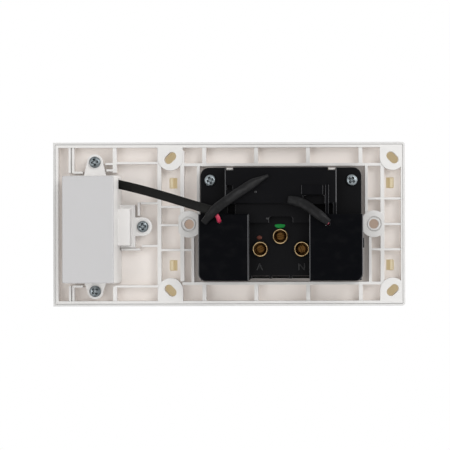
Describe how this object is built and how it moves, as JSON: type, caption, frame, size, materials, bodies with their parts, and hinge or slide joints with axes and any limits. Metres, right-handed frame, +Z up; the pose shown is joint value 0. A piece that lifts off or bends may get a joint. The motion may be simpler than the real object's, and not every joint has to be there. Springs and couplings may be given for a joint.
{
  "type": "double socket with usb",
  "caption": "Wall outlet with three-pin sockets, rocker switches and USB charging ports on one long plate, with its rear terminals and charger case.",
  "frame": {"origin": "midway between the wall-screw holes, in the wall plane", "axes": "+Z up, +X to the right as seen from the room (the picture's left), front on -Y, wall plane y = 0"},
  "size_m": [0.16, 0.0375, 0.0746],
  "materials": {
    "white_plate": "satin, fine moulded skin",
    "white_frame": "satin, moulded",
    "white_case": "satin, moulded",
    "black_moulding": "satin, moulded thermoset",
    "white_front": "satin, moulded",
    "white_rocker": "smooth",
    "zinc_steel": "zinc plated",
    "brass": "machined and slightly tarnished",
    "strip_brass": "rolled strip",
    "silver": "silver contact",
    "spring_steel": "drawn wire",
    "nylon": "moulded",
    "sleeve": "shrunk tube",
    "lead": "extruded",
    "red_wire": "extruded",
    "circuit_board": "lacquered",
    "port_steel": "nickel plated",
    "port_tongue": "moulded",
    "ferrite": "ground",
    "coil_tape": "tape",
    "capacitor": "drawn can"
  },
  "bodies": {
    "housing": {"cover_plate": "white_plate", "grid_plate": "white_frame", "mechanism_base": "black_moulding", "socket_front": "white_front", "fixed_contacts": "silver", "active_clip_left": "strip_brass", "active_clip_right": "strip_brass", "active_bar": "strip_brass", "neutral_bar": "strip_brass", "earth_bar": "strip_brass", "active_terminal": "brass", "neutral_terminal": "brass", "earth_terminal": "brass", "terminal_screws": "brass", "mechanism_screws": "zinc_steel", "usb_case_screws": "zinc_steel", "usb_case": "white_case", "usb_board": "circuit_board", "usb_port_upper": "port_steel", "usb_port_lower": "port_steel", "usb_tongue_upper": "port_tongue", "usb_tongue_lower": "port_tongue", "transformer_core": "ferrite", "transformer_coil": "coil_tape", "capacitors": "capacitor", "supply_lead": "lead", "sleeve_left": "sleeve", "sleeve_right": "sleeve", "red_wire_left": "red_wire", "red_wire_right": "red_wire"},
    "rocker_left": {"rocker_left": "white_rocker", "plunger_left": "nylon", "plunger_spring_left": "spring_steel"},
    "rocker_right": {"rocker_right": "white_rocker", "plunger_right": "nylon", "plunger_spring_right": "spring_steel"},
    "arm_left": {"contact_arm_left": "strip_brass", "arm_contact_left": "silver"},
    "arm_right": {"contact_arm_right": "strip_brass", "arm_contact_right": "silver"}
  },
  "joints": [
    {"name": "rocker_left_switch", "type": "hinge", "parent": "housing", "child": "rocker_left", "pos_m": [-0.015, -0.0076, 0.0165], "axis": [1, 0, 0], "range_deg": [0, 16]},
    {"name": "rocker_right_switch", "type": "hinge", "parent": "housing", "child": "rocker_right", "pos_m": [0.015, -0.0076, 0.0165], "axis": [1, 0, 0], "range_deg": [0, 16]},
    {"name": "arm_left_rock", "type": "hinge", "parent": "housing", "child": "arm_left", "pos_m": [-0.015, 0.0022, 0.0165], "axis": [1, 0, 0], "range_deg": [-14, 0]},
    {"name": "arm_right_rock", "type": "hinge", "parent": "housing", "child": "arm_right", "pos_m": [0.015, 0.0022, 0.0165], "axis": [1, 0, 0], "range_deg": [-14, 0]}
  ],
  "couplings": [
    {"joint": "arm_left_rock", "follows": "rocker_left_switch", "ratio": -0.875},
    {"joint": "arm_right_rock", "follows": "rocker_right_switch", "ratio": -0.875}
  ]
}
